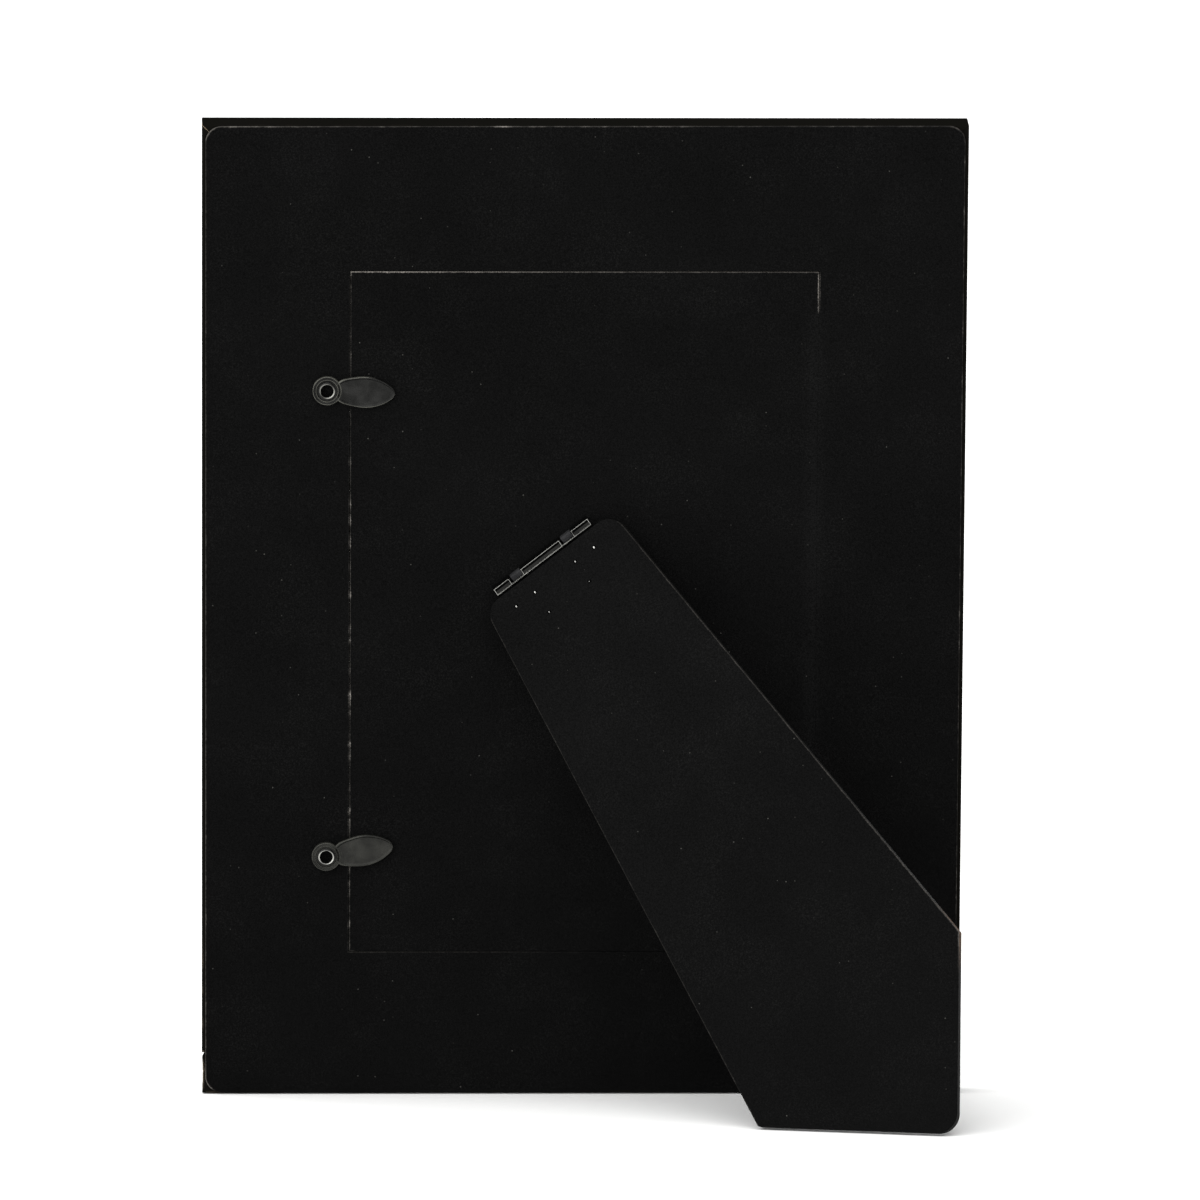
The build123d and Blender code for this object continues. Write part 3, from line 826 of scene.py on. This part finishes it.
buttons = []
for which in ("upper", "lower"):
    corners = to_plane(node_points(which + "_button"), back_origin, back_axes)
    pivot = to_plane(np.array(joints[which + "_button_turn"]["pos_m"]), back_origin, back_axes)
    arm = (corners - pivot)[:, :2]
    far = np.linalg.norm(arm, axis=1)
    tip = arm[far > far.max() - 0.05].mean(0)
    angle = math.atan2(tip[1], tip[0])
    broad = np.abs(arm @ (-math.sin(angle), math.cos(angle)))
    low, high = (corners - pivot)[:, 2].min(), (corners - pivot)[:, 2].max()
    blade, blade_marks = blade_rings(far.max(), 2 * broad.max(), low + under_lap, high - over_lap)
    profile, head_edge = head_profile(low, high)
    head_marks = {"edge": head_edge[:, None], "soot_and_painted_shade": 0.0}
    shells = [(on_back(turned(blade, pivot, angle)), "lids", blade_marks),
              (on_back(turned(lathe(profile), pivot, angle)), "join", head_marks)]
    made = make_piece(which + "_turn_button", shells, which + "_button", [which + "_button"])
    buttons.append(made)
    print(which, "button at", pivot.round(2), "turned", round(math.degrees(angle), 1), "degrees")

# %% [markdown]
# ## Eyelets
# A hollow eyelet holds each button: a thin tube whose edge is rolled outwards over the button's seat.
# It is one profile turned round its axis. Its inside is dark, so the roll reads as a bright ring;
# on two opposite sides its bare band is widened as a painted highlight.

# %% Eyelets with a rolled edge
# Sizes are millimetres.
eyelet_wall, lip_high, lip_middle = 0.28, 0.3, 0.22
roll_slack = 0.06         # by which the roll is wider than two walls
bright_in = 0.06          # that the brightest line lies inside the roll's middle
foot_sunk = 0.3           # that the tube runs on below the flock
painted_highlight_falloff = 0.07          # by which the bare band is narrower between the painted highlights
around = np.linspace(0, 2 * np.pi, LATHE_STEPS, endpoint=False)
eyelets = []
for which, painted_highlight_way in (("upper", 2.5), ("lower", 3.0)):   # radians, where the painted highlights stand, on this side and the opposite one
    box_low, box_high = back_box(which + "_eyelet")
    centre = np.array((*(box_low + box_high)[:2] / 2, 0))
    flange, top, foot = (box_high - box_low)[0] / 2, box_high[2], sheet_top - foot_sunk
    bore = flange - 2 * eyelet_wall - roll_slack
    middle = bore + lip_middle
    roll = np.linspace(-0.25 * np.pi, np.pi, 20)
    wide = np.where(roll < np.pi / 2, flange - middle, middle - bore)
    curl = np.stack((middle + wide * np.cos(roll), top - lip_high + lip_high * np.sin(roll)), -1)
    outside = bore + eyelet_wall
    tube = np.array([(bore, top - 0.6), (bore, foot), (outside, foot), (outside, top - 0.5)])
    lip = np.r_[np.abs(curl[:, 0] - middle + bright_in), 0.6, 2.0, 2.0, 2.0]
    rings = lathe(np.r_[curl, tube]) + centre
    # Painted highlight: the roll is worn bare all round, and its bare band widens on two opposite sides, where a
    # polished ring shows the lights.
    dull = painted_highlight_falloff * (1 - np.cos(2 * (around - painted_highlight_way)))
    shell = (on_back(rings), "join", {"edge": lip[:, None] + dull, "soot_and_painted_shade": 0.0})
    eyelets.append(make_piece(which + "_eyelet_piece", [shell], "frame", [which + "_eyelet"]))

# %% [markdown]
# ## The easel hinge
# The leg's hinge leaf ends in a tongue: a narrow pressed tray, its raised edges rubbed bright. Two
# straps stand out of the door's leaf, bend over the tongue and tuck into slots in it. The CAD leaf has
# a plain rod there, which turns just as well but does not show the tray, so the tray is laid over
# it as three rounded trays with the slots between them. The straps are a thin band carried along the
# hinge line.

# %% Tongue and straps of the hinge
strap_axes = np.array((hinge_line, np.cross(back_out, hinge_line), back_out))
tongue_points = to_plane(node_points("leg_hinge_leaf"), leg_origin, leg_axes)
tongue_half = tongue_points[tongue_points[:, 1] > -0.2, 0].max()
# Sizes are millimetres.
leaf_top = 0.3
tray_width, tray_drop, tray_height, tray_rim = 1.6, 0.55, 0.3, 0.24
strap_place, strap_width, strap_thickness = 7.0, 2.6, 0.26
strap_half, strap_drop, strap_rise, strap_foot = 0.8, 0.12, 0.72, -0.8
slot_left, slot_right = 1.95, 1.4
end_gap = 0.02            # by which the low rim is shorter than the tongue at each end
tray_corner = 0.02        # radius
strap_lift = 0.1          # from the hinge line up to where the arch begins
arch_power = 0.6          # 1 is a round arch, less is squarer


def tray_shell(start, end, width, shift):
    """A tray from start to end along the hinge: its outline carried up, over the rim and into the dish.

    Its mark is the distance from the outline, so that the rim can be worn bright.
    """
    insets = np.array((0.0, 0.0, 0.02, 0.05, 0.1, 0.15, 0.22, 0.3)) * min(1, width / tray_width * 2)
    heights = tray_height * np.array((0.0, 0.85, 0.96, 1.0, 1.0, 0.85, 0.3, 0.2))
    loops = np.stack([rounded_rectangle(end - start - 2 * i, width - 2 * i, tray_corner) for i in insets])
    loops += ((start + end) / 2, shift)
    edge = np.r_[2.0, 2.0, insets[2:]]
    return on_leg(raised(loops, leaf_top + heights)), "lids", {"edge": edge[:, None], "soot_and_painted_shade": 0.0}


def strap_rings(place):
    """A strap over the tongue: an arch with straight feet, as a thin band carried along the hinge."""
    turn = np.linspace(0, np.pi, 24)
    wide, high = np.cos(turn), np.abs(np.sin(turn)) ** arch_power
    wide = np.sign(wide) * np.abs(wide) ** arch_power
    across = np.r_[strap_half, strap_half * wide, -strap_half] - strap_drop
    height = np.r_[strap_foot, strap_rise * high + strap_lift, strap_foot]
    path = np.c_[across, height]
    ahead = unit(np.gradient(path, axis=0))
    out = strap_thickness / 2 * np.c_[ahead[:, 1], -ahead[:, 0]]
    band = np.r_[path + out, (path - out)[::-1]]
    along = place + strap_width * np.array((-0.5, -0.47, 0.47, 0.5))
    rings = np.stack([band] * len(along))
    rings[[0, -1]] = band * 0.985
    points = np.dstack((np.broadcast_to(along[:, None], rings.shape[:2]), rings))
    return from_plane(points, leg_origin, strap_axes)


trays = [(-tongue_half, -strap_place - slot_left), (-strap_place + slot_right, strap_place - slot_left),
         (strap_place + slot_right, tongue_half)]
shells = [tray_shell(*ends, tray_width, -tray_drop) for ends in trays]
low_rim = (tray_rim - tray_width) / 2 - tray_drop
shells.append(tray_shell(end_gap - tongue_half, tongue_half - end_gap, tray_rim, low_rim))
tongue = make_piece("hinge_tongue", shells, "leg")
strap_marks = {"edge": 0.25, "soot_and_painted_shade": 0.0}
shells = [(strap_rings(side * strap_place), "lids", strap_marks) for side in (-1, 1)]
straps = make_piece("hinge_straps", shells, "frame", ["door_hinge_leaf"])

# %% [markdown]
# The leaf is fixed to the leg by prongs, pushed through the board from inside. Their tips come out of
# the flock as six bright dots. Their places are read from the CAD leaf: its points that stand above the
# flock fall into six groups. Each tip is a small worn dome.

# %% Prong tips on the leg
tip_gap = 1.5             # millimetres, points farther apart belong to two prongs
tip_height, dome_steps = 0.24, 20
tip_sizes = (0.27, 0.23, 0.27, 0.19, 0.24, 0.29)   # millimetres, left to right along the hinge
tip_dirt = (0.1, 0.3, 0.05, 0.6, 0.25, 0.0)


def split_by(points, axis):
    """Groups of points that a gap along an axis parts, in that axis's order."""
    points = points[np.argsort(points[:, axis])]
    return np.split(points, np.flatnonzero(np.diff(points[:, axis]) > tip_gap) + 1)


above = tongue_points[tongue_points[:, 2] > leg_high + 0.02]
tip_places = [tip.mean(0) for group in split_by(above, 0) for tip in split_by(group, 1)]
bend = np.linspace(0, np.pi / 2, 6)
dome = np.c_[np.r_[1.0, np.cos(bend) + 0.02], np.r_[-1.0, np.sin(bend)]]
shells = []
for place, size, dirt in zip(tip_places, tip_sizes, tip_dirt):
    rings = lathe(dome * (size, tip_height), dome_steps) + (*place[:2], leg_high)
    shells.append((on_leg(rings), "lids", {"edge": 2.0, "soot_and_painted_shade": dirt}))
prong_tips = make_piece("leg_prong_tips", shells, "leg")

# %% [markdown]
# ## Metals
# The buttons are blackened steel with a satin lacquer: dark grey, with soft light on the rims. The
# hinge is the same steel, bare and bright where the parts rub. The eyelets are burnished: dark in the
# hollow, bright on the roll. All three are one recipe with other numbers.

# %% Blackened and burnished steel
STEEL_CLOUD = 3.2         # millimetres across a cloud in the blackening
STEEL_GRAIN = 0.3         # millimetres, coarser than the real scratches so that they show
SOOT_AND_PAINTED_SHADE = "#0a0a09"


def dark_steel(name, dark, light, bare, rough, band, wear):
    """Blackened steel: cloudy tone, fine scratches in the bump, bare metal within a band of an edge.

    The mark "edge" is the distance from an edge in millimetres and "soot" is dirt in a corner, and
    painted shade on the slope under each button's upper rim.
    """
    material, tree, shader, _, (cloud, fine) = new_material(
        name, ((STEEL_CLOUD, 4.0), (STEEL_GRAIN, 3.0)), Metallic=0.85)
    soot_and_painted_shade, edge = (add(tree, "Attribute", out="Fac", attribute_name=mark) for mark in ("soot_and_painted_shade", "edge"))
    cloudy = add(tree, "MapRange", (cloud, 0.35, 0.65))
    near = add(tree, "MapRange", (edge, 1.3 * band, 0.5 * band))
    patchy = add(tree, "MapRange", (cloud, 0.3, 0.6, 0.5 * wear, wear))
    worn = add(tree, "Math", (near, patchy), operation="MULTIPLY", use_clamp=True)
    roughness = add(tree, "MapRange", (fine, 0.0, 1.0, rough - 0.08, rough + 0.1))
    bump = add(tree, "Bump", {"Height": fine, "Strength": 0.15, "Distance": 0.03 / MM})
    # The soot coat is dirt on the prong tips and painted shade in the buttons' upper rim groove.
    coats = ((cloudy, light), (soot_and_painted_shade, SOOT_AND_PAINTED_SHADE), (worn, bare))
    paint(shader, dark, coats, Roughness=roughness, Normal=bump)
    return material


# Each steel: name, dark, light and bare tone, roughness, width of the bare band in millimetres, wear.
recipes = {
    "upper_turn_button": ("blackened_stamped_steel", "#181817", "#2a2a29", "#66665f", 0.5, 0.2, 0.8),
    "lower_turn_button": ("rubbed_stamped_steel", "#252523", "#343431", "#484843", 0.5, 0.2, 0.7),
    "upper_eyelet_piece": ("burnished_eyelet_steel", "#20201f", "#2c2c2a", "#9c9c96", 0.35, 0.16, 1.0),
    "lower_eyelet_piece": ("polished_eyelet_steel", "#20201f", "#2c2c2a", "#d0d0ca", 0.35, 0.18, 1.0),
    "hinge_tongue": ("blackened_hinge_steel", "#0e0e0d", "#181816", "#9c9c97", 0.45, 0.15, 0.95),
    "hinge_straps": ("rubbed_strap_steel", "#2c2c2d", "#363637", "#4a4a4a", 0.75, 0.2, 0.3),
    "leg_prong_tips": ("bright_prong_steel", "#b4b4b0", "#cacac6", "#d8d8d4", 0.4, 0.2, 0.8),
}
steel = {piece: dark_steel(*recipe) for piece, recipe in recipes.items()}
for made in (*buttons, *eyelets, tongue, straps, prong_tips):
    made.data.materials.append(steel[made.name])
    print(made.name, "is", steel[made.name].name)
dress(steel["leg_prong_tips"], "corner_v_nails")

# %% [markdown]
# ## Boards, paper and glass
# The door and the leg are thin fibreboard: raw and tan where it was sawn, with the leg's edges
# brushed black. Behind the door lie a grey card, a bare sheet of satin photo paper and a pane of glass.

# %% Fibreboard, card, paper
RAW_BOARD = "#8d6f58"


def fibre(name, dark, light, grain, rough, worn_place=None, shine=0.1):
    """Pressed fibre: two tones mixed by noise at the grain's size, with the same noise as bump.

    Near a worn place, in metres, the raw tan board shows through.
    """
    material, tree, shader, place, (noise,) = new_material(
        name, ((grain, 6.0),), Roughness=rough, IOR=1.5, Specular_IOR_Level=shine)
    noise.node.inputs["Roughness"].default_value = 0.65
    coats = [(noise, light)]
    if worn_place is not None:
        far = add(tree, "VectorMath", (place, worn_place), "Value", operation="DISTANCE")
        close = add(tree, "MapRange", (far, 9 / MM, 1 / MM, 0.0, 0.5))
        patchy = add(tree, "MapRange", (noise, 0.35, 0.6))
        coats.append((add(tree, "Math", (close, patchy), operation="MULTIPLY"), RAW_BOARD))
    bump = add(tree, "Bump", {"Height": noise, "Strength": 0.3, "Distance": 0.08 / MM})
    paint(shader, dark, coats, Normal=bump)
    return material


leg_knock = on_leg(np.array((*side_corner, (leg_low + leg_high) / 2)))
dress(fibre("raw_fibreboard", "#7d6350", "#b39a82", 0.8, 0.85), "door_board")
dress(fibre("black_brushed_fibreboard", "#070707", "#121110", 0.9, 0.85, leg_knock), "leg_board")
# Painted shade: the leaf is black steel, made darker than the other blacks and nearly without shine, so that its
# strip between the tray and the leg reads as a shadowed gap.
dress(fibre("black_leaf_with_painted_shade", "#020202", "#060606", 0.6, 0.8, shine=0.01), "leg_hinge_leaf")
dress(fibre("black_lining_paper", "#121212", "#1d1c1b", 0.6, 0.9), "leg_lining")
dress(fibre("grey_filler_card", "#7f7a70", "#9a948a", 0.7, 0.9), "filler_card")
dress(fibre("satin_photo_paper", "#d8d6d1", "#e6e4df", 1.2, 0.35), "photo_insert")

# %% Float glass
SMEAR = 35.0              # millimetres across a smear left by a cloth
glass, glass_tree, glass_shader, _, (smear,) = new_material(
    "float_glass", ((SMEAR, 3.0),), IOR=1.52, Transmission_Weight=1.0)
film = add(glass_tree, "MapRange", (smear, 0.45, 0.75, 0.01, 0.06))
glass_shader.inputs["Base Color"].default_value = linear("#f3f8f6")
glass_tree.links.new(film, glass_shader.inputs["Roughness"])
dress(glass, "glass_pane")

# %% [markdown]
# ## Stage, light and camera
# The picture is a white studio shot. The floor is a wide sheet of white paper, lit brightly enough to
# go clear white, and the sky is a dim even white. One very wide softbox, high behind and on the left,
# lights the back, and the leg, which faces up and left, comes out a little lighter. A weaker one in
# front shows the picture side to a viewer who walks round; from behind it hardly shows. Both are sun
# lamps with a wide angle, because their light is as soft as a large panel's but even everywhere.

# %% White floor and soft light
FLOOR_SIDE = 40.0         # metres
FLOOR_DROP = 0.0002       # metres under the feet, so that no face lies in the floor
MOTTLE = 400.0            # millimetres across a mottle in the paper
SKY_STRENGTH = 0.3
scene = bpy.context.scene
scene.view_settings.view_transform = "Standard"
floor_mesh = bpy.data.meshes.new("white_floor")
floor_corners = np.array(((-1, -1, 0), (1, -1, 0), (1, 1, 0), (-1, 1, 0))) * FLOOR_SIDE / 2
floor_mesh.from_pydata(floor_corners, [], [(0, 1, 2, 3)])
floor = bpy.data.objects.new("white_floor", floor_mesh)
scene.collection.objects.link(floor)
floor.location.z = -FLOOR_DROP
floor_paper, _, floor_shader, _, (mottle,) = new_material(
    "matt_white_paper_sweep", ((MOTTLE, 3.0),), Roughness=0.9)
paint(floor_shader, "#f6f6f5", [(mottle, "#fbfbfa")])
floor_mesh.materials.append(floor_paper)

world = bpy.data.worlds.new("soft_white_studio")
scene.world = world
world.use_nodes = True
sky = world.node_tree.nodes["Background"]
sky.inputs["Color"].default_value = linear("#ffffff")
sky.inputs["Strength"].default_value = SKY_STRENGTH

# Each softbox: name, direction it stands in, watts per square metre, angle it fills in degrees.
softboxes = (
    ("wide_high_left_softbox", (0.45, 0.45, 0.77), 4.6, 100),
    ("front_fill_softbox", (-0.35, -0.9, 0.3), 1.8, 70),
)
for name, towards, energy, angle in softboxes:
    lamp = bpy.data.lights.new(name, "SUN")
    lamp.energy, lamp.angle = energy, math.radians(angle)
    softbox = bpy.data.objects.new(name, lamp)
    scene.collection.objects.link(softbox)
    softbox.rotation_euler = Vector(towards).to_track_quat("Z", "Y").to_euler()
    print(name, energy, "watts per square metre")

# %% [markdown]
# The camera was worked out from the photograph: a long lens, a few degrees above the frame, a touch to
# one side. Its aim is given from the middle of the edge that the frame stands on.

# %% Camera at the photograph's angle
CAMERA_DISTANCE, CAMERA_LENS = 3.3, 447.2   # metres and millimetres
AIM = (-4.11, 0.0, 110.08)                  # millimetres along the model's axes
PITCH, YAW, ROLL = (math.radians(angle) for angle in (6.05, 1.48, 0.17))
aim = back_origin + np.array(AIM) / MM
forward = np.array((-math.sin(YAW) * math.cos(PITCH), -math.cos(YAW) * math.cos(PITCH), -math.sin(PITCH)))
level = np.array((-math.cos(YAW), math.sin(YAW), 0.0))
upright = np.cross(level, forward)
camera_x = math.cos(ROLL) * level + math.sin(ROLL) * upright
camera_y = math.cos(ROLL) * upright - math.sin(ROLL) * level
camera_data = bpy.data.cameras.new("studio_camera")
camera_data.lens = CAMERA_LENS
camera_data.clip_end = 100.0
camera = bpy.data.objects.new("studio_camera", camera_data)
scene.collection.objects.link(camera)
place = aim - forward * CAMERA_DISTANCE
matrix = np.eye(4)
matrix[:3] = np.stack((camera_x, camera_y, -forward, place), -1)
camera.matrix_world = Matrix(matrix.tolist())
scene.camera = camera
print("camera at", place.round(3))
